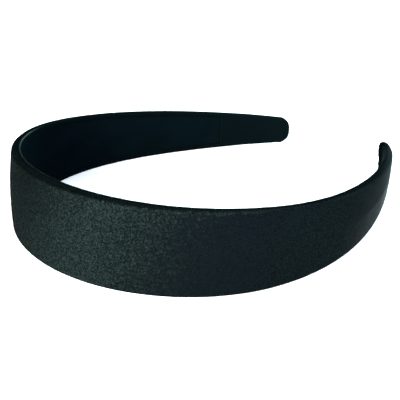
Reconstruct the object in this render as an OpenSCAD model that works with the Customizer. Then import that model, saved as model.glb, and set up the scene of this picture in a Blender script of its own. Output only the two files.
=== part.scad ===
// Wide padded headband, lying on its lower edge.
// +X points to the crown, the two arms run back towards -X, +Z is up.
// The origin is under the middle of the band's box, on the surface it lies on.

/* [Band] */
// Length along the middle of the wall, tip to tip
band_length = 400; // [370:5:430]
// Width of the band at the crown
crown_width = 30.5; // [26:0.5:34]
// Thickness of the wall, core, padding, cover and lining together
wall_t = 3.1; // [2.9:0.1:3.8]
// How far the middle of the wall stands out past its long edges at the crown
crown_bulge = 0.9; // [0.4:0.1:1.4]
// Height of the rolled outer corner of the long edges
edge_r = 1.3; // [0.8:0.1:1.5]

/* [Tips] */
// Radius of the two corners of each tip
tip_r = 5; // [4:0.25:5.25]
// Radius of the end of each tip, seen in the thickness of the wall
tip_end_r = 1.2; // [0.8:0.1:1.4]

/* [Lining] */
// Thickness of the lining strip
lining_t = 1; // [0.8:0.1:1.2]
// Width of the rolled edge that the lining leaves bare on each side
lip_w = 1.6; // [1.4:0.1:2]
// Length at each tip where the cover is turned in and no lining lies
turn_in = 34; // [20:2:40]
// Gap between the lining and the cover
gap = 0.1; // [0.05:0.05:0.2]

/* [Rest] */
// Slope of the band's middle plane as it lies, crown end higher
rest_tilt = 3.2; // [2.8:0.1:3.6]
// How far the +Y tip stands up from that plane, and the -Y tip down
tip_lift = 0.8; // [0:0.1:1]

/* [Hidden] */

// One row for each section of an arm, evenly spaced from crown to tip:
// share of the crown's width, radius of the bend seen from above, and how far
// the section leans, in degrees, its upper edge inwards
WIDTH = 0; BEND_R = 1; LEAN = 2;
SECTIONS = [
    //  width  bend_r  lean
    [1.000,  70,  1.4],   // crown
    [0.989,  66,  1.3],
    [0.955,  60,  1.2],
    [0.897,  61,  1.0],
    [0.805,  78,  0.9],   // middle of the arm
    [0.713, 120,  0.2],
    [0.615, 182, -0.6],
    [0.500, 165, -1.3],
    [0.381, 134, -2.0],   // tip
];
rows = len(SECTIONS) - 1;
arm = band_length / 2;
scale_r = band_length / 400;

// --- the middle line of an arm, walked in short steps ---
step = 1;
steps = ceil(arm / step);
function bend(u) = lookup(u, [for (i = [0:rows]) [i / rows, 1 / (SECTIONS[i][BEND_R] * scale_r)]]);
walk = [for (i = 0, s = 0, a = 0, x = 0, y = 0; i <= steps;
             da = bend((s + step / 2) / arm) * step * 180 / PI,
             x = x - sin(a + da / 2) * step, y = y + cos(a + da / 2) * step,
             a = a + da, s = s + step, i = i + 1) [s, a, x, y]];
function along(s, col) = lookup(abs(s), [for (w = walk) [w[0], w[col]]]);
function lean(s) = lookup(abs(s) / arm, [for (i = [0:rows]) [i / rows, SECTIONS[i][LEAN]]]);

// --- half width of the band at s, smooth through the table's rows ---
function row(i) = i < 0 ? SECTIONS[-i][WIDTH] : i > rows ? 2 * SECTIONS[rows][WIDTH] - SECTIONS[2 * rows - i][WIDTH] : SECTIONS[i][WIDTH];
function blend4(a, b, c, d, f) = (2 * b + (c - a) * f + (2 * a - 5 * b + 4 * c - d) * f * f + (3 * b - a - 3 * c + d) * f * f * f) / 2;
function share(u) = let (k = min(floor(u * rows), rows - 1), f = u * rows - k) blend4(row(k - 1), row(k), row(k + 1), row(k + 2), f);
function round_off(d, r) = d >= r ? 0 : r - sqrt(r * r - (r - d) * (r - d));
tip_round = min(tip_r, 0.9 * SECTIONS[rows][WIDTH] * crown_width / 2);
function half_w(s) = crown_width / 2 * share(abs(s) / arm) - round_off(arm - abs(s), tip_round);

// --- the wall's section at s: points [outwards, up], outer face first ---
function sag(z) = crown_bulge * pow(2 * z / crown_width, 2);
function bow(z, o) = [o - sag(z), z];
function lining_w(h) = h - 1.35 * lip_w - gap; // half width of the lining
function wall_section(s, floor_d) =
    let (h = half_w(s), pull = round_off(arm - abs(s), tip_end_r) * 0.9,
         o = wall_t / 2 - pull, n = -wall_t / 2 + pull,
         r = min(edge_r, 0.42 * h), deep = min(1.3 * edge_r, 0.55 * (o - n)),
         q = min(0.42 * edge_r, 0.3 * h, 0.3 * (o - n)),
         lip = min(lip_w, 0.3 * h), m = h - lip, k = m - 0.35 * lip,
         c = floor_d > 0 ? lining_w(h) / 2 : k / 2)
    concat(
        [for (f = [-1, -0.8, -0.55, -0.28, 0, 0.28, 0.55, 0.8, 1]) bow(f * (h - r), o)],
        [for (a = [30, 60, 90]) bow(h - r + r * sin(a), o - deep + deep * cos(a))],
        [for (a = [0, 45, 90]) bow(h - q + q * cos(a), n + q - q * sin(a))],
        [bow(m, n), bow(k, n + floor_d), bow(c, n + floor_d), bow(0, n + floor_d), bow(-c, n + floor_d), bow(-k, n + floor_d), bow(-m, n)],
        [for (a = [90, 45, 0]) bow(-h + q - q * cos(a), n + q - q * sin(a))],
        [for (a = [90, 60, 30]) bow(-h + r - r * sin(a), o - deep + deep * cos(a))]
    );

function lining_section(s) =
    let (m = lining_w(half_w(s)), o = -wall_t / 2 + lining_t, n = -wall_t / 2)
    concat(
        [for (f = [-1, -0.5, 0, 0.5, 1]) bow(f * m, o)],
        [for (f = [1, 0.5, 0, -0.5, -1]) bow(f * m, n)]
    );

// --- stations ---
ring = 5;
lining_end = arm - turn_in;
arm_rings = concat(
    [for (s = [ring:ring:lining_end - ring * 0.6]) [s, 1]],
    [[lining_end + gap, 1], [lining_end + gap + 0.5, 0]],
    [for (i = [1:4]) [lining_end + gap + 0.5 + (turn_in - gap - 0.5 - tip_round) * i / 5, 0]],
    [for (d = [1, 0.8, 0.61, 0.44]) [arm - tip_round * d, 0]],
    [for (d = [1, 0.75, 0.5, 0.25, 0.08, 0]) [arm - tip_end_r * d, 0]]
);
n_arm = len(arm_rings);
wall_rings = concat([for (i = [n_arm - 1:-1:0]) [-arm_rings[i][0], arm_rings[i][1]]], [[0, 1]], arm_rings);
lining_half = concat([for (s = [ring:ring:lining_end - ring * 0.6]) s], [lining_end]);
lining_rings = concat([for (i = [len(lining_half) - 1:-1:0]) -lining_half[i]], [0], lining_half);

// --- place a section's points on the arm at s, lay the band down ---
function turned(p, l) = [p[0] * cos(l) - p[1] * sin(l), p[1] * cos(l) + p[0] * sin(l)];
function place(s, pts) =
    let (a = along(s, 1), x = along(s, 2), y = along(s, 3), l = lean(s), g = s < 0 ? -1 : 1,
         up = g * tip_lift * pow(s / arm, 2))
    [for (p = pts) let (t = turned(p, l)) lay([x + cos(a) * t[0], g * (y + sin(a) * t[0]), t[1] + up])];
function lay(p) = [p[0] * cos(rest_tilt) - p[2] * sin(rest_tilt), p[1], p[0] * sin(rest_tilt) + p[2] * cos(rest_tilt)];

wall_pts = [for (r = wall_rings) place(r[0], wall_section(r[0], r[1] * (lining_t + gap)))];
lining_pts = [for (s = lining_rings) place(s, lining_section(s))];

all_x = [for (r = wall_pts) for (p = r) p[0]];
all_z = [for (r = wall_pts) for (p = r) p[2]];
shift = [-(max(all_x) + min(all_x)) / 2, 0, -min(all_z)];

// closed skin over a row of rings with the same number of points
module skin(rings) {
    n = len(rings[0]);
    last = len(rings) - 1;
    polyhedron(
        points = [for (r = rings) for (p = r) p + shift],
        faces = concat(
            [for (i = [0:last - 1]) for (j = [0:n - 1]) [i * n + j, i * n + (j + 1) % n, (i + 1) * n + (j + 1) % n]],
            [for (i = [0:last - 1]) for (j = [0:n - 1]) [i * n + j, (i + 1) * n + (j + 1) % n, (i + 1) * n + j]],
            [[for (j = [n - 1:-1:0]) j]],
            [[for (j = [0:n - 1]) last * n + j]]
        ),
        convexity = 6);
}

// Satin wrap with the padded core inside it
module cover() {
    color([0.07, 0.09, 0.10]) skin(wall_pts);
}

// Strip glued along the inner face, between the rolled edges
module lining() {
    color([0.03, 0.06, 0.08]) skin(lining_pts);
}

cover();
lining();
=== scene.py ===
import math

import bpy
import numpy as np
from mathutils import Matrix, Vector, noise


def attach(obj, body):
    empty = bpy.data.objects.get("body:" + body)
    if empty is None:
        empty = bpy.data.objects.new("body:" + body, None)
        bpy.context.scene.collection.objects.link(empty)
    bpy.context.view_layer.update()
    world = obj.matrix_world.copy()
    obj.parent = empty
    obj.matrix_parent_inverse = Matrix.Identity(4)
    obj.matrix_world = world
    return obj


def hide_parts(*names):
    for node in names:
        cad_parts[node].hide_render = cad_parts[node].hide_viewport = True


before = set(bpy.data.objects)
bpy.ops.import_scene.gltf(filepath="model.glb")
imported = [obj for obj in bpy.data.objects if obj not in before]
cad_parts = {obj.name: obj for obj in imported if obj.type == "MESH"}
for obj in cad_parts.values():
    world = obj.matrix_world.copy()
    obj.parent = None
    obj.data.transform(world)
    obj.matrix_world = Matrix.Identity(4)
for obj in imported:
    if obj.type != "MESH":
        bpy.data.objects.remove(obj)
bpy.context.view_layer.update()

scene = bpy.context.scene
MM = 0.001

# ---------------------------------------------------------------- camera
TARGET = Vector((0.00622, 0.0, 0.00313))
CAM_AZ, CAM_EL, CAM_DIST = math.radians(47.06), math.radians(23.52), 0.2909
cam_data = bpy.data.cameras.new("camera")
cam_data.sensor_fit = "HORIZONTAL"
cam_data.sensor_width = 36.0
cam_data.lens = 744.6 / 400 * 36.0
cam_data.clip_start, cam_data.clip_end = 0.01, 50.0
camera = bpy.data.objects.new("camera", cam_data)
scene.collection.objects.link(camera)
towards = Vector((math.cos(CAM_AZ) * math.cos(CAM_EL), math.sin(CAM_AZ) * math.cos(CAM_EL), math.sin(CAM_EL)))
camera.location = TARGET + towards * CAM_DIST
camera.rotation_mode = "QUATERNION"
camera.rotation_quaternion = (-towards).to_track_quat("-Z", "Y")
scene.camera = camera

# ---------------------------------------------------------------- sizes of the band, mm, as in the CAD
BAND_LENGTH, CROWN_W, WALL, BULGE, EDGE_R = 400.0, 30.5, 3.1, 0.9, 1.3
TIP_R, TIP_END_R = 5.0, 1.2
EAR_UP = 0.65  # how far the upper corner of the +Y tip stands up
FOLD_HI, FOLD_LO, FOLD_FAR = 1.15, 0.15, 0.35  # what the folded end of the cloth adds inwards: +Y tip above and below, -Y tip
PUFF = 0.07  # how far the padding puffs the satin out
SWELL = 0.2  # how far the doubled cloth stands out on the outer face near a tip
WRAP = 0.5  # how much the cloth turned in round a tip lengthens it
LINING_T, LIP_W, TURN_IN, GAP = 1.0, 1.6, 34.0, 0.1
REST_TILT, TIP_LIFT = math.radians(3.2), 0.8
SHIFT = (75.8778, 0.0, 16.0473)
# share of the crown's width, radius of the bend, lean in degrees; evenly spaced from crown to tip
SECTIONS = [
    (1.000, 70, 1.4),
    (0.989, 66, 1.3),
    (0.955, 60, 1.2),
    (0.897, 61, 1.0),
    (0.805, 78, 0.9),
    (0.713, 120, 0.2),
    (0.615, 182, -0.6),
    (0.500, 165, -1.3),
    (0.381, 134, -2.0),
]
ROWS = len(SECTIONS) - 1
ARM = BAND_LENGTH / 2
LINING_END = ARM - TURN_IN

# the middle line of an arm
STEP = 0.25
grid = np.arange(0, ARM + 3, STEP)
curve = np.interp(grid / ARM, np.linspace(0, 1, ROWS + 1), [1 / row[1] for row in SECTIONS])
lean = np.interp(grid / ARM, np.linspace(0, 1, ROWS + 1), [math.radians(row[2]) for row in SECTIONS])
turn = np.concatenate([[0], np.cumsum((curve[1:] + curve[:-1]) / 2 * STEP)])
mid = (turn[1:] + turn[:-1]) / 2
line_x = np.concatenate([[0], np.cumsum(-np.sin(mid) * STEP)])
line_y = np.concatenate([[0], np.cumsum(np.cos(mid) * STEP)])


def share(u):
    k = min(int(u * ROWS), ROWS - 1)
    f = u * ROWS - k
    last = SECTIONS[ROWS][0]

    def row(i):
        if i < 0:
            return SECTIONS[-i][0]
        return SECTIONS[i][0] if i <= ROWS else 2 * last - SECTIONS[2 * ROWS - i][0]

    a, b, c, d = row(k - 1), row(k), row(k + 1), row(k + 2)
    return (2 * b + (c - a) * f + (2 * a - 5 * b + 4 * c - d) * f * f + (3 * b - a - 3 * c + d) * f**3) / 2


def round_off(d, r):
    if d >= r:
        return 0.0
    return r - math.sqrt(max(0.0, r * r - (r - d) ** 2))


def half_w(s, upper=False):
    d = ARM + WRAP - abs(s)
    plain = CROWN_W / 2 * share(min(abs(s) / ARM, 1.0))
    if upper and s > 0:
        plain += EAR_UP * smooth(15, 6, d)
    return plain - round_off(d, TIP_R)


def fold(s, z):
    """How far the folded end of the cloth stands in at the tip, mm."""
    d = ARM + WRAP - abs(s)
    side = FOLD_LO + (FOLD_HI - FOLD_LO) * smooth(-3.5, 1.5, z) if s > 0 else FOLD_FAR
    return side * smooth(10, 4, d) * smooth(0.2, 1.8, d)


def bow(o, z):
    return (o - BULGE * (2 * z / CROWN_W) ** 2, z)


def smooth(a, b, x):
    t = min(1.0, max(0.0, (x - a) / (b - a)))
    return t * t * (3 - 2 * t)


def rnd(x, y, z=0.0):
    """Smooth noise from -1 to 1, the same each run."""
    return noise.noise(Vector((x, y, z)))


def place(s, o, z):
    """A point of the section at s, o outwards and z up, in the lying band's frame, mm."""
    q = abs(s)
    g = -1.0 if s < 0 else 1.0
    a, x, y = np.interp(q, grid, turn), np.interp(q, grid, line_x), np.interp(q, grid, line_y)
    m = np.interp(q, grid, lean)
    o, z = o * math.cos(m) - z * math.sin(m), z * math.cos(m) + o * math.sin(m)
    px, py = x + math.cos(a) * o, g * (y + math.sin(a) * o)
    pz = z + g * TIP_LIFT * (s / ARM) ** 2
    c, d = math.cos(REST_TILT), math.sin(REST_TILT)
    return (px * c - pz * d + SHIFT[0], py + SHIFT[1], px * d + pz * c + SHIFT[2])


# ---------------------------------------------------------------- section of the cover
N_FACE, N_OUT, N_TOP, N_IN, N_LIP, N_FLOOR = 40, 9, 4, 6, 4, 26


def cover_half(h, o, n, floor_d, soft=0.0):
    """Upper half of the section, from the middle of the outer face round to the middle of the inner face.
    soft, 0 to 1, is how far the padding gives way at a tip, where the cloth is pulled round its corners."""
    t = o - n
    ra = min(1.3 * EDGE_R, 0.55 * t) * (1 - soft) + 0.52 * t * soft  # the padded outer corner, rounder than the inner one
    rb = min(EDGE_R, 0.42 * h) * (1 - soft) + min(3.5, 0.7 * h) * soft
    q = min(0.42 * EDGE_R, 0.3 * h, 0.3 * t) * (1 - soft) + min(1.3, 0.3 * h, 0.3 * t) * soft
    lip = min(LIP_W, 0.3 * h)
    m = h - 1.15 * lip
    k = h - 1.35 * lip
    half = []
    for i in range(N_FACE // 2 + 1):
        f = math.sin(i / (N_FACE // 2) * math.pi / 2) ** 0.9
        half.append((o, f * (h - rb), 0, 0.0))
    for i in range(1, N_OUT + 1):
        a = math.radians(90 * i / N_OUT)
        half.append((o - ra + ra * math.cos(a), h - rb + rb * math.sin(a), 1, i / N_OUT))
    top0, top1 = o - ra, n + q
    for i in range(1, N_TOP + 1):
        f = i / (N_TOP + 1)
        half.append((top0 + (top1 - top0) * f, h + 0.06 * min(1, t / 3) * math.sin(f * math.pi), 2, 1.0))
    for i in range(N_IN + 1):
        a = math.radians(90 * i / N_IN)
        half.append((n + q - q * math.sin(a), h - q + q * math.cos(a), 3, 1.0))
    e = 0.12 * min(1.0, floor_d)
    for i in range(1, N_LIP + 1):
        f = i / N_LIP
        half.append((n, (h - q) + (m + e - h + q) * f, 4, 1.0))
    w, flat = m - k, 1 - min(1.0, floor_d)
    half.append((n + e * 0.35, m + e * 0.25 - 0.25 * w * flat, 4, 1.0))
    half.append((n + max(e, floor_d * 0.25), m - e * 0.4 - (0.06 + 0.44 * flat) * w, 5, 1.0))
    half.append((n + floor_d * 0.96, k + 0.15 * w, 5, 1.0))
    for i in range(N_FLOOR // 2 + 1):
        half.append((n + floor_d, k * (1 - i / (N_FLOOR // 2)), 6, 1.0))
    return [(*bow(a, z), w, r, h) for a, z, w, r in half]


def cover_section(s, floor_d):
    """Closed section of the padded wall: (o, z, zone, turn round the corner, half width on that side), and the wall's thickness."""
    d = ARM + WRAP - abs(s)
    pull = round_off(d, TIP_END_R * 1.2) * 0.94
    o, n = WALL / 2 - pull + SWELL * smooth(45, 22, d), -WALL / 2 + pull
    halves = []
    for g, h in ((1, half_w(s, True)), (-1, half_w(s))):
        soft = smooth(15, 5, d) * (1.0 if g * s > 0 else 0.35)
        deep = fold(s, g * h)
        part = []
        for a, z, w, r, hh in cover_half(h, o, n - deep, floor_d, soft):
            z *= g
            if w >= 4:
                a += deep - fold(s, z)
            part.append((a, z, w, r, hh))
        halves.append(part)
    return halves[0] + halves[1][-2:0:-1], o - n


def cover_relief(s, o, z, zone, h, t, side_up):
    """How far the cloth stands out of the plain shape, mm."""
    d = ARM + WRAP - abs(s)
    g = 1.0 if s >= 0 else -1.0
    v = z / max(h, 0.5)
    out = 0.0
    if zone in (0, 1):
        # padding under satin: long, faint swells
        out += PUFF + 0.045 * rnd(s / 34, v * 1.1, 3.1) + 0.018 * rnd(s / 9, v * 2.3, 7.7)
    if zone > 0:
        # the cloth is pulled round the edge: small puckers across it, stronger inwards
        w = (0.0, 0.35, 0.8, 1.0, 0.75, 0.75, 0.75)[zone]
        if zone in (2, 3):
            out += PUFF
        if zone > 3 and d < TURN_IN:
            w *= smooth(h - 7.0, h - 1.6, abs(z))
        side = 11.0 if side_up else 47.0
        out += w * (0.035 * rnd(s / 1.9, side, 0.4) + 0.03 * rnd(s / 5.5, side + 5, 1.7))
    if zone > 4 and d < TURN_IN:
        # turned-in cloth at the tip, glued down by hand: shallow, uneven
        out += 0.07 * rnd(s / 7.5, z / 5.0, 20.0 + g) + 0.035 * rnd(s / 2.6, z / 2.4, 30.0 + g)
    # gathers that run round the end of the tip, on the inner side
    if d < 12 and zone > 1:
        a = math.atan2(z, TIP_R - d)
        reach = math.hypot(z, max(0.0, TIP_R - d)) / max(h, 0.6) if d < TIP_R else abs(v)
        fade = smooth(12, 3.5, d) * smooth(0.25, 0.85, min(1.0, max(reach, 1 - d / 3.0)))
        out += 0.11 * fade * math.cos(9 * a + 2.2 * rnd(a * 1.6, g * 3.0, 9.0)) * min(1.0, t / 1.6)
    return out


def stations():
    """(signed s, depth of the recess) from one tip to the other."""
    arm = []
    s = 0.95
    while s < LINING_END - 0.6:
        arm.append((s, 1))
        s += 0.95
    arm += [(LINING_END + GAP - 0.25, 1), (LINING_END + GAP, 0.97), (LINING_END + GAP + 0.16, 0.55), (LINING_END + GAP + 0.34, 0.13), (LINING_END + GAP + 0.5, 0.03), (LINING_END + GAP + 0.7, 0)]
    s = LINING_END + GAP + 1.3
    end = ARM + WRAP
    while s < end - TIP_R - 0.4:
        arm.append((s, 0))
        s += 0.75
    for i in range(15):
        arm.append((end - TIP_R * (1 - math.sin(i / 15 * math.pi / 2)), 0))
    arm = [a for a in arm if a[0] < end - TIP_END_R * 1.2 - 0.03]
    for i in range(9):
        arm.append((end - TIP_END_R * 1.2 * (1 - math.sin(i / 8 * math.pi / 2)), 0))
    return [(-s, f) for s, f in reversed(arm)] + [(0.0, 1)] + arm


def make_tube(name, rings, uvs, marks=None):
    """Closed skin over rings of points with a fan at each end; uvs holds (along, around) in mm for each point,
    and marks a row of three weights for each ring's points: inner side with painted shade, inner edge, and painted
    shade on the long edges."""
    n = len(rings[0])
    verts = [tuple(c * MM for c in p) for r in rings for p in r]
    faces, loops = [], []
    for i in range(len(rings) - 1):
        for j in range(n):
            j2 = (j + 1) % n
            faces.append((i * n + j, i * n + j2, (i + 1) * n + j2, (i + 1) * n + j))
            a, b, c, d = uvs[i][j], uvs[i][j + 1], uvs[i + 1][j + 1], uvs[i + 1][j]
            loops += [a, b, c, d]
    for i, order in ((0, -1), (len(rings) - 1, 1)):
        centre = len(verts)
        ring = rings[i]
        verts.append(tuple(sum(p[c] for p in ring) / n * MM for c in range(3)))
        mu = (uvs[i][0][0], sum(u[1] for u in uvs[i][:n]) / n)
        for j in range(n):
            j2 = (j + 1) % n
            if order > 0:
                faces.append((i * n + j, i * n + j2, centre))
                loops += [uvs[i][j], uvs[i][j + 1], mu]
            else:
                faces.append((i * n + j2, i * n + j, centre))
                loops += [uvs[i][j + 1], uvs[i][j], mu]
    mesh = bpy.data.meshes.new(name)
    mesh.from_pydata(verts, [], faces)
    layer = mesh.uv_layers.new(name="weave")
    layer.uv.foreach_set("vector", np.array(loops, dtype=np.float32).ravel() * 0.0025)  # 400 mm along is 1
    if marks:
        for c, key in enumerate(("inside", "edge", "painted_shade")):
            values = [m[c] for row in marks for m in row]
            values += [sum(m[c] for m in row) / n for row in (marks[0], marks[-1])]
            mesh.attributes.new(key, "FLOAT", "POINT").data.foreach_set("value", values)
    mesh.polygons.foreach_set("use_smooth", [True] * len(mesh.polygons))
    mesh.update()
    obj = bpy.data.objects.new(name, mesh)
    scene.collection.objects.link(obj)
    return obj


def signed_volume(mesh):
    total = 0.0
    vs = mesh.vertices
    for p in mesh.polygons:
        a = vs[p.vertices[0]].co
        for i in range(1, len(p.vertices) - 1):
            total += a.dot(vs[p.vertices[i]].co.cross(vs[p.vertices[i + 1]].co)) / 6
    return total


def face_outwards(obj):
    if signed_volume(obj.data) < 0:
        obj.data.flip_normals()


def around(points):
    """Length round a closed section to each point, mm, and once round."""
    out = [0.0]
    for a, b in zip(points, points[1:] + points[:1]):
        out.append(out[-1] + math.hypot(a[0] - b[0], a[1] - b[1]))
    return out


# weights for the zones of cover_half: how far a zone lies on the band's inner side, painted shade included on the top
# edge; how far on its inner edge; and how much painted shade darkens the long edges
INNER_SIDE_AND_PAINTED_SHADE = (0.0, 0.2, 0.7, 0.85, 1.0, 1.0, 1.0)
EDGE = (0.0, 0.0, 0.0, 1.0, 0.15, 0.0, 0.0)
PAINTED_SHADE_BY_ZONE = (0.0, 1.0, 1.0, 0.6, 0.6, 0.0, 0.0)


def mark(s, z, zone, roll, h):
    """Three weights at a point: how far it lies on the inner side, with painted shade on the top edge and at the tip
    ends; how far on the inner edge; and painted shade on the long edges, the upper +Y tip and the step at the
    lining's end.
    """
    d = ARM + WRAP - abs(s)
    upper = 1.0 if zone > 1 else smooth(0.0, 0.5, roll) * (1.0 if z > 0 else 0.0)
    # painted shade: near both tips the upper side, and in the last few mm every zone, count as inner cloth and are
    # darkened
    tip, end = smooth(13, 8, d) * upper, smooth(4.5, 1.5, d)
    inside = max(INNER_SIDE_AND_PAINTED_SHADE[zone] * (smooth(0.4, 1.0, roll) if zone == 1 else 1.0), tip, end)
    edge = EDGE[zone] * (1 - smooth(35, 70, abs(s)))
    # painted shade on the long edges: the outer rounding from part way up, the top, the inner corner and the lip,
    # starting lower down the rounding towards the tips
    early = 0.3 * smooth(90, 150, abs(s))
    painted_shade = PAINTED_SHADE_BY_ZONE[zone] * (smooth(0.42 - early, 0.9 - early, roll) if zone == 1 else 1.0)
    if zone > 2:
        painted_shade *= smooth(TURN_IN - 1, TURN_IN + 1, d)
    if zone > 4 and abs(abs(s) - LINING_END - GAP) < 0.6:
        painted_shade = 0.2  # painted shade, slightly darker, at the step of the lining's end
    # painted shade over the upper side of the +Y tip
    tip_painted_shade = smooth(12, 6, d) * upper if s > 0 else 0.0
    return inside, edge, max(painted_shade, tip_painted_shade)


def build_cover():
    rings, uvs, marks = [], [], []
    for s, f in stations():
        pts, t = cover_section(s, f * (LINING_T + GAP))
        n = len(pts)
        moved = []
        for j, (o, z, zone, _, h) in enumerate(pts):
            p, q = pts[(j - 1) % n], pts[(j + 1) % n]
            dz, do = q[1] - p[1], q[0] - p[0]
            size = math.hypot(dz, do) or 1.0
            # the section runs from the outer face up and over, so outwards is to the right of its way
            nz, no = -do / size, dz / size
            d = cover_relief(s, o, z, zone, h, t, z > 0) if f == 0 or zone < 5 else 0.0
            moved.append((o + no * d, z + nz * d))
        rings.append([place(s, o, z) for o, z in moved])
        marks.append([mark(s, *p[1:]) for p in pts])
        # the weave runs on past the lining's end, so its lengths leave the recess out
        length = around([(p[0], p[1]) for p in cover_section(s, 0)[0]])
        centre = length[n // 2]
        uvs.append([(s + ARM, v - centre + 40) for v in length])
    obj = make_tube("satin_cover", rings, uvs, marks)
    face_outwards(obj)
    return obj


# ---------------------------------------------------------------- lining ribbon
RIB_T = 0.8  # the ribbon's own thickness with the glue under it, within its CAD strip


def lining_half_w(s):
    return half_w(s) - 1.35 * LIP_W - GAP


def build_lining():
    r = 0.16
    rings, uvs = [], []
    arm, s = [], 1.25
    while s < LINING_END - 1.6:
        arm.append(s)
        s += 1.25
    arm += [LINING_END - r * (1 - math.sin(i / 6 * math.pi / 2)) for i in range(7)]
    arm.insert(len(arm) - 7, LINING_END - 0.9)
    area = 0.0
    spots = [-s for s in reversed(arm)] + [0.0] + arm
    for i, s in enumerate(spots):
        end = round_off(LINING_END - abs(s), r)
        m = lining_half_w(s) + 0.2 - end
        n, o = -WALL / 2 + 0.02 + end * 0.9, -WALL / 2 + 0.02 + RIB_T
        half = [(n, f / 14 * (m - r), 0) for f in range(15)]
        half += [(n + r - r * math.cos(math.radians(a)), m - r + r * math.sin(math.radians(a)), 1) for a in (18, 36, 54, 72, 90)]
        half += [(o, m - 0.16, 2)] + [(o, m * f, 3) for f in (0.75, 0.5, 0.25, 0.0)]
        upper = [(*bow(a, z), w) for a, z, w in half]
        pts = upper + [(a, -z, w) for a, z, w in upper[-2:0:-1]]
        moved = []
        for o_, z, zone in pts:
            d = 0.0
            if zone < 2:
                d = 0.03 * rnd(s / 18, z / 9, 60.0) + 0.012 * rnd(s / 4.5, z / 5, 70.0)
                if zone == 1:
                    d += 0.02 * rnd(s / 3.0, 5.0 if z > 0 else 15.0, 80.0)
            moved.append((o_ - d, z))
        rings.append([place(s, a, z) for a, z in moved])
        length = around([(p[0], p[1]) for p in pts])
        uvs.append([(s + ARM, v + 5) for v in length])
        if i:
            area += (s - spots[i - 1]) * (lining_half_w(s) + lining_half_w(spots[i - 1]))
    obj = make_tube("lining_ribbon", rings, uvs)
    face_outwards(obj)
    return obj, area * MM * MM


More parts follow.
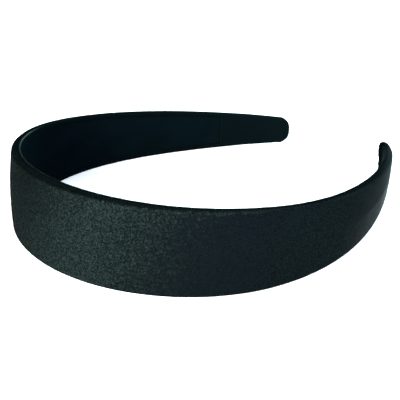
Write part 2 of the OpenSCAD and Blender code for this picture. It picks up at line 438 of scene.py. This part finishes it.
# ---------------------------------------------------------------- materials
class Graph:
    """A few short calls for a material's nodes."""

    def __init__(self, name):
        self.mat = bpy.data.materials.new(name)
        self.mat.use_nodes = True
        self.tree = self.mat.node_tree
        self.tree.nodes.clear()
        self.out = self.tree.nodes.new("ShaderNodeOutputMaterial")
        self.bsdf = self.tree.nodes.new("ShaderNodeBsdfPrincipled")
        self.link(self.bsdf.outputs[0], self.out.inputs["Surface"])

    def link(self, a, b):
        self.tree.links.new(a, b)

    def node(self, kind, **settings):
        n = self.tree.nodes.new(kind)
        for k, v in settings.items():
            setattr(n, k, v)
        return n

    def put(self, socket, value):
        if hasattr(value, "links"):
            self.link(value, socket)
        else:
            socket.default_value = value

    def uv_mm(self, su, sv):
        """UV in mm, scaled by su along and sv around, for a texture's vector."""
        uv = self.node("ShaderNodeUVMap", uv_map="weave")
        m = self.node("ShaderNodeVectorMath", operation="MULTIPLY")
        self.link(uv.outputs[0], m.inputs[0])
        m.inputs[1].default_value = (400.0 * su, 400.0 * sv, 0.0)
        return m.outputs[0]

    def noise(self, vector, scale=1.0, detail=2.0, rough=0.5, distortion=0.0):
        n = self.node("ShaderNodeTexNoise")
        self.put(n.inputs["Vector"], vector)
        n.inputs["Scale"].default_value = scale
        n.inputs["Detail"].default_value = detail
        n.inputs["Roughness"].default_value = rough
        n.inputs["Distortion"].default_value = distortion
        return n.outputs["Fac"]

    def from_crown(self):
        """Distance along the band from the crown, mm."""
        uv = self.node("ShaderNodeUVMap", uv_map="weave")
        parts = self.node("ShaderNodeSeparateXYZ")
        self.link(uv.outputs[0], parts.inputs[0])
        return self.math("ABSOLUTE", self.math("SUBTRACT", self.math("MULTIPLY", parts.outputs[0], 400.0), ARM))

    def mark(self, name):
        """A weight kept with the mesh's points."""
        return self.node("ShaderNodeAttribute", attribute_type="GEOMETRY", attribute_name=name).outputs["Fac"]

    def blend(self, factor, a, b):
        n = self.node("ShaderNodeMix", data_type="FLOAT")
        self.put(n.inputs[0], factor)
        self.put(n.inputs[2], a)
        self.put(n.inputs[3], b)
        return n.outputs[0]

    def times(self, factor, colour, by):
        n = self.node("ShaderNodeMix", data_type="RGBA", blend_type="MULTIPLY")
        self.put(n.inputs[0], factor)
        self.put(n.inputs[6], colour)
        self.put(n.inputs[7], by)
        return n.outputs[2]

    def cells(self, vector, scale):
        """A colour chosen at random for each small cell."""
        n = self.node("ShaderNodeTexVoronoi", voronoi_dimensions="2D", feature="F1")
        self.put(n.inputs["Vector"], vector)
        n.inputs["Scale"].default_value = scale
        return n.outputs["Color"]

    def tilted(self, colour, amount, normal=None):
        """The normal, tilted at random by up to half of amount, as the floats of a weave lie."""
        a = self.node("ShaderNodeVectorMath", operation="SUBTRACT")
        self.link(colour, a.inputs[0])
        a.inputs[1].default_value = (0.5, 0.5, 0.5)
        b = self.node("ShaderNodeVectorMath", operation="SCALE")
        self.link(a.outputs[0], b.inputs[0])
        self.put(b.inputs["Scale"], amount)
        c = self.node("ShaderNodeVectorMath", operation="ADD")
        self.link(b.outputs[0], c.inputs[0])
        self.link(normal if normal is not None else self.node("ShaderNodeNewGeometry").outputs["Normal"], c.inputs[1])
        d = self.node("ShaderNodeVectorMath", operation="NORMALIZE")
        self.link(c.outputs[0], d.inputs[0])
        return d.outputs[0]

    def ramp(self, value, a, b, lo=0.0, hi=1.0, smooth_step=False):
        n = self.node("ShaderNodeMapRange", clamp=True)
        if smooth_step:
            n.interpolation_type = "SMOOTHSTEP"
        self.put(n.inputs["Value"], value)
        n.inputs["From Min"].default_value = a
        n.inputs["From Max"].default_value = b
        n.inputs["To Min"].default_value = lo
        n.inputs["To Max"].default_value = hi
        return n.outputs["Result"]

    def math(self, op, a, b=0.0):
        n = self.node("ShaderNodeMath", operation=op)
        self.put(n.inputs[0], a)
        self.put(n.inputs[1], b)
        return n.outputs[0]

    def mix(self, factor, a, b):
        n = self.node("ShaderNodeMix", data_type="RGBA")
        self.put(n.inputs["Factor"], factor)
        self.put(n.inputs[6], a)
        self.put(n.inputs[7], b)
        return n.outputs[2]

    def bump(self, height, strength, distance, normal=None):
        n = self.node("ShaderNodeBump")
        n.inputs["Strength"].default_value = strength
        n.inputs["Distance"].default_value = distance
        self.put(n.inputs["Height"], height)
        if normal is not None:
            self.link(normal, n.inputs["Normal"])
        return n.outputs["Normal"]


def satin_material():
    """Black satin cut on the bias: its floats lie at 45 degrees, so its shine is stretched out across them.
    Each fleck is either a float that faces out, all dark shine, or the ground between, mostly matt."""
    g = Graph("black_satin")
    inside, edge, painted_shade = g.mark("inside"), g.mark("edge"), g.mark("painted_shade")
    flecks = g.cells(g.uv_mm(1.0, 1.0), 3.4)
    parts = g.node("ShaderNodeSeparateColor")
    g.link(flecks, parts.inputs[0])
    cloud = g.noise(g.uv_mm(1.0, 1.6), scale=0.07, detail=2.0)
    glued = g.ramp(g.noise(g.uv_mm(1.0, 1.3), scale=0.22, detail=2.0), 0.3, 0.7, 0.45, 0.75)
    taut = g.ramp(g.from_crown(), 90.0, 145.0, smooth_step=True)
    even = g.math("MAXIMUM", inside, taut)
    floats = g.blend(inside, g.ramp(parts.outputs[0], 0.3, 0.6), glued)
    # painted highlight: from 142 mm the outer flecks even out, and by 174 mm they are all lighter, full shine
    even_and_painted_highlight = g.ramp(g.from_crown(), 142.0, 174.0, 0.42, 1.0, smooth_step=True)
    floats = g.blend(g.math("MULTIPLY", taut, g.math("SUBTRACT", 1.0, inside)), floats, even_and_painted_highlight)
    base = g.mix(floats, (0.0016, 0.0026, 0.0028, 1), (0.0051, 0.0084, 0.0093, 1))
    # the inner cloth is darker and bluer, and so is the painted shade on the top edges and tip ends
    base = g.times(inside, base, (0.44, 0.62, 0.62, 1))
    # painted shade and highlight on the outer cloth: darker, down to 0.8, from 92 to 130 mm from the crown, then
    # lighter, up to 1.28, by 178 mm towards the tips
    fade = g.ramp(g.from_crown(), 92.0, 130.0, 1.0, 0.8, smooth_step=True)
    painted_shade_and_highlight = g.math("MULTIPLY", fade, g.ramp(g.from_crown(), 148.0, 178.0, 1.0, 1.6, smooth_step=True))
    base = g.times(g.math("SUBTRACT", 1.0, inside), base, painted_shade_and_highlight)
    # painted shade: the colour drops to 0.4 where it is marked, and the shine drops with it
    g.link(g.times(painted_shade, base, (0.4, 0.4, 0.4, 1)), g.bsdf.inputs["Base Color"])
    shine = g.math("MULTIPLY", g.ramp(floats, 0.0, 1.0, 0.05, 1.0), g.ramp(painted_shade, 0.0, 1.0, 1.0, 0.1))
    g.link(shine, g.bsdf.inputs["Metallic"])
    rough = g.blend(g.math("MULTIPLY", taut, 0.75), g.ramp(parts.outputs[1], 0.0, 1.0, 0.60, 0.50), 0.55)
    rough = g.math("ADD", rough, g.ramp(cloud, 0.3, 0.7, -0.015, 0.015))
    g.link(rough, g.bsdf.inputs["Roughness"])
    g.bsdf.inputs["Specular IOR Level"].default_value = 0.0
    g.bsdf.inputs["Specular Tint"].default_value = (0.5, 0.5, 0.5, 1)
    g.bsdf.inputs["Anisotropic"].default_value = 0.9
    g.bsdf.inputs["Anisotropic Rotation"].default_value = 0.125
    along = g.node("ShaderNodeTangent", direction_type="UV_MAP", uv_map="weave")
    g.link(along.outputs[0], g.bsdf.inputs["Tangent"])
    g.link(g.tilted(flecks, g.ramp(even, 0.0, 1.0, 0.47, 0.07)), g.bsdf.inputs["Normal"])
    g.link(g.math("MULTIPLY", edge, 0.1), g.bsdf.inputs["Coat Weight"])
    g.bsdf.inputs["Coat Roughness"].default_value = 0.35
    return g.mat


def lining_material():
    g = Graph("black_lining")
    grain = g.noise(g.uv_mm(1.0, 1.0), scale=3.0, detail=2.0)
    cloud = g.noise(g.uv_mm(1.0, 1.2), scale=0.06, detail=2.0)
    # painted shade: the lining darkens towards the crown, to 0.6 at it, under a faint random mottle
    mottle_and_painted_crown_shade = g.math("MULTIPLY", g.ramp(cloud, 0.3, 0.7, 0.75, 1.0), g.ramp(g.from_crown(), 45.0, 125.0, 0.6, 1.0, smooth_step=True))
    g.link(g.mix(mottle_and_painted_crown_shade, (0.0, 0.0, 0.0, 1), (0.0012, 0.0033, 0.0042, 1)), g.bsdf.inputs["Base Color"])
    g.link(g.ramp(grain, 0.3, 0.7, 0.66, 0.56), g.bsdf.inputs["Roughness"])
    g.bsdf.inputs["Metallic"].default_value = 0.5
    g.bsdf.inputs["Specular IOR Level"].default_value = 0.0
    g.bsdf.inputs["Specular Tint"].default_value = (0.5, 0.5, 0.5, 1)
    g.link(g.bump(grain, 0.2, 0.00005), g.bsdf.inputs["Normal"])
    return g.mat


def floor_material():
    g = Graph("pale_floor")
    coord = g.node("ShaderNodeTexCoord")
    soft = g.noise(coord.outputs["Object"], scale=1.3, detail=2.0)
    base = g.mix(soft, (0.92, 0.925, 0.925, 1), (0.94, 0.94, 0.94, 1))
    g.link(base, g.bsdf.inputs["Base Color"])
    g.bsdf.inputs["Roughness"].default_value = 0.9
    g.bsdf.inputs["Specular IOR Level"].default_value = 0.1
    g.bsdf.inputs["Emission Color"].default_value = (1.0, 1.0, 1.0, 1)  # a light table's faint glow, so that shade stays pale
    g.bsdf.inputs["Emission Strength"].default_value = 0.35
    return g.mat


# ---------------------------------------------------------------- pieces
cover = build_cover()
cover.data.materials.append(satin_material())
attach(cover, "root")
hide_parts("cover")

lining, lining_area = build_lining()
lift = max(0.0, -min(v.co.z for v in cover.data.vertices))  # the relief's lowest point rests on the floor
for piece in (cover, lining):
    for v in piece.data.vertices:
        v.co.z += lift
lining.data.materials.append(lining_material())
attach(lining, "root")
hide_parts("lining")
2 * lining_half_w(0) * MM

# ---------------------------------------------------------------- floor, light
floor_mesh = bpy.data.meshes.new("floor")
FLOOR = 3.0
cells = 12
floor_mesh.from_pydata(
    [(FLOOR * (2 * i / cells - 1), FLOOR * (2 * j / cells - 1), 0.0) for j in range(cells + 1) for i in range(cells + 1)],
    [],
    [(j * (cells + 1) + i, j * (cells + 1) + i + 1, (j + 1) * (cells + 1) + i + 1, (j + 1) * (cells + 1) + i) for j in range(cells) for i in range(cells)],
)
floor_mesh.materials.append(floor_material())
floor = bpy.data.objects.new("floor", floor_mesh)
scene.collection.objects.link(floor)

# name, azimuth and elevation in degrees, distance, width and height (m), watts, colour
LIGHTS = [
    ("key", 21, 16.1, 3.0, 1.55, 1.55, 390.0, (1.0, 1.0, 0.85)),
    ("side", 5, 16.1, 3.0, 1.55, 1.55, 68.0, (0.92, 1.0, 0.88)),
    ("top", 90, 37, 3.0, 1.55, 1.55, 40.0, (0.9, 0.97, 1.0)),
    ("cool", 90, 16.1, 3.0, 1.55, 1.55, 58.0, (0.05, 0.15, 1.0)),
    ("back", 150, 16.1, 3.0, 1.55, 1.55, 42.0, (0.5, 0.87, 1.0)),
    ("rim", 193, 16.1, 3.0, 1.55, 1.55, 450.0, (0.62, 0.95, 1.0)),
    ("over", 30, 63, 3.0, 1.55, 1.55, 30.0, (1.0, 1.0, 1.0)),
]


def add_light(name, az, el, dist, width, height, watts, colour):
    data = bpy.data.lights.new(name, "AREA")
    data.shape = "RECTANGLE"
    data.size, data.size_y = width, height
    data.energy = watts
    data.color = colour
    obj = bpy.data.objects.new(name, data)
    scene.collection.objects.link(obj)
    a, e = math.radians(az), math.radians(el)
    way = Vector((math.cos(a) * math.cos(e), math.sin(a) * math.cos(e), math.sin(e)))
    obj.location = way * dist
    obj.rotation_mode = "QUATERNION"
    obj.rotation_quaternion = way.to_track_quat("Z", "Y")
    return obj


for row in LIGHTS:
    add_light(*row)

world = bpy.data.worlds.new("world")
world.use_nodes = True
scene.world = world
world.node_tree.nodes["Background"].inputs["Color"].default_value = (1.0, 1.0, 1.0, 1)
world.node_tree.nodes["Background"].inputs["Strength"].default_value = 0.0

scene.view_settings.view_transform = "Standard"
scene.view_settings.look = "None"
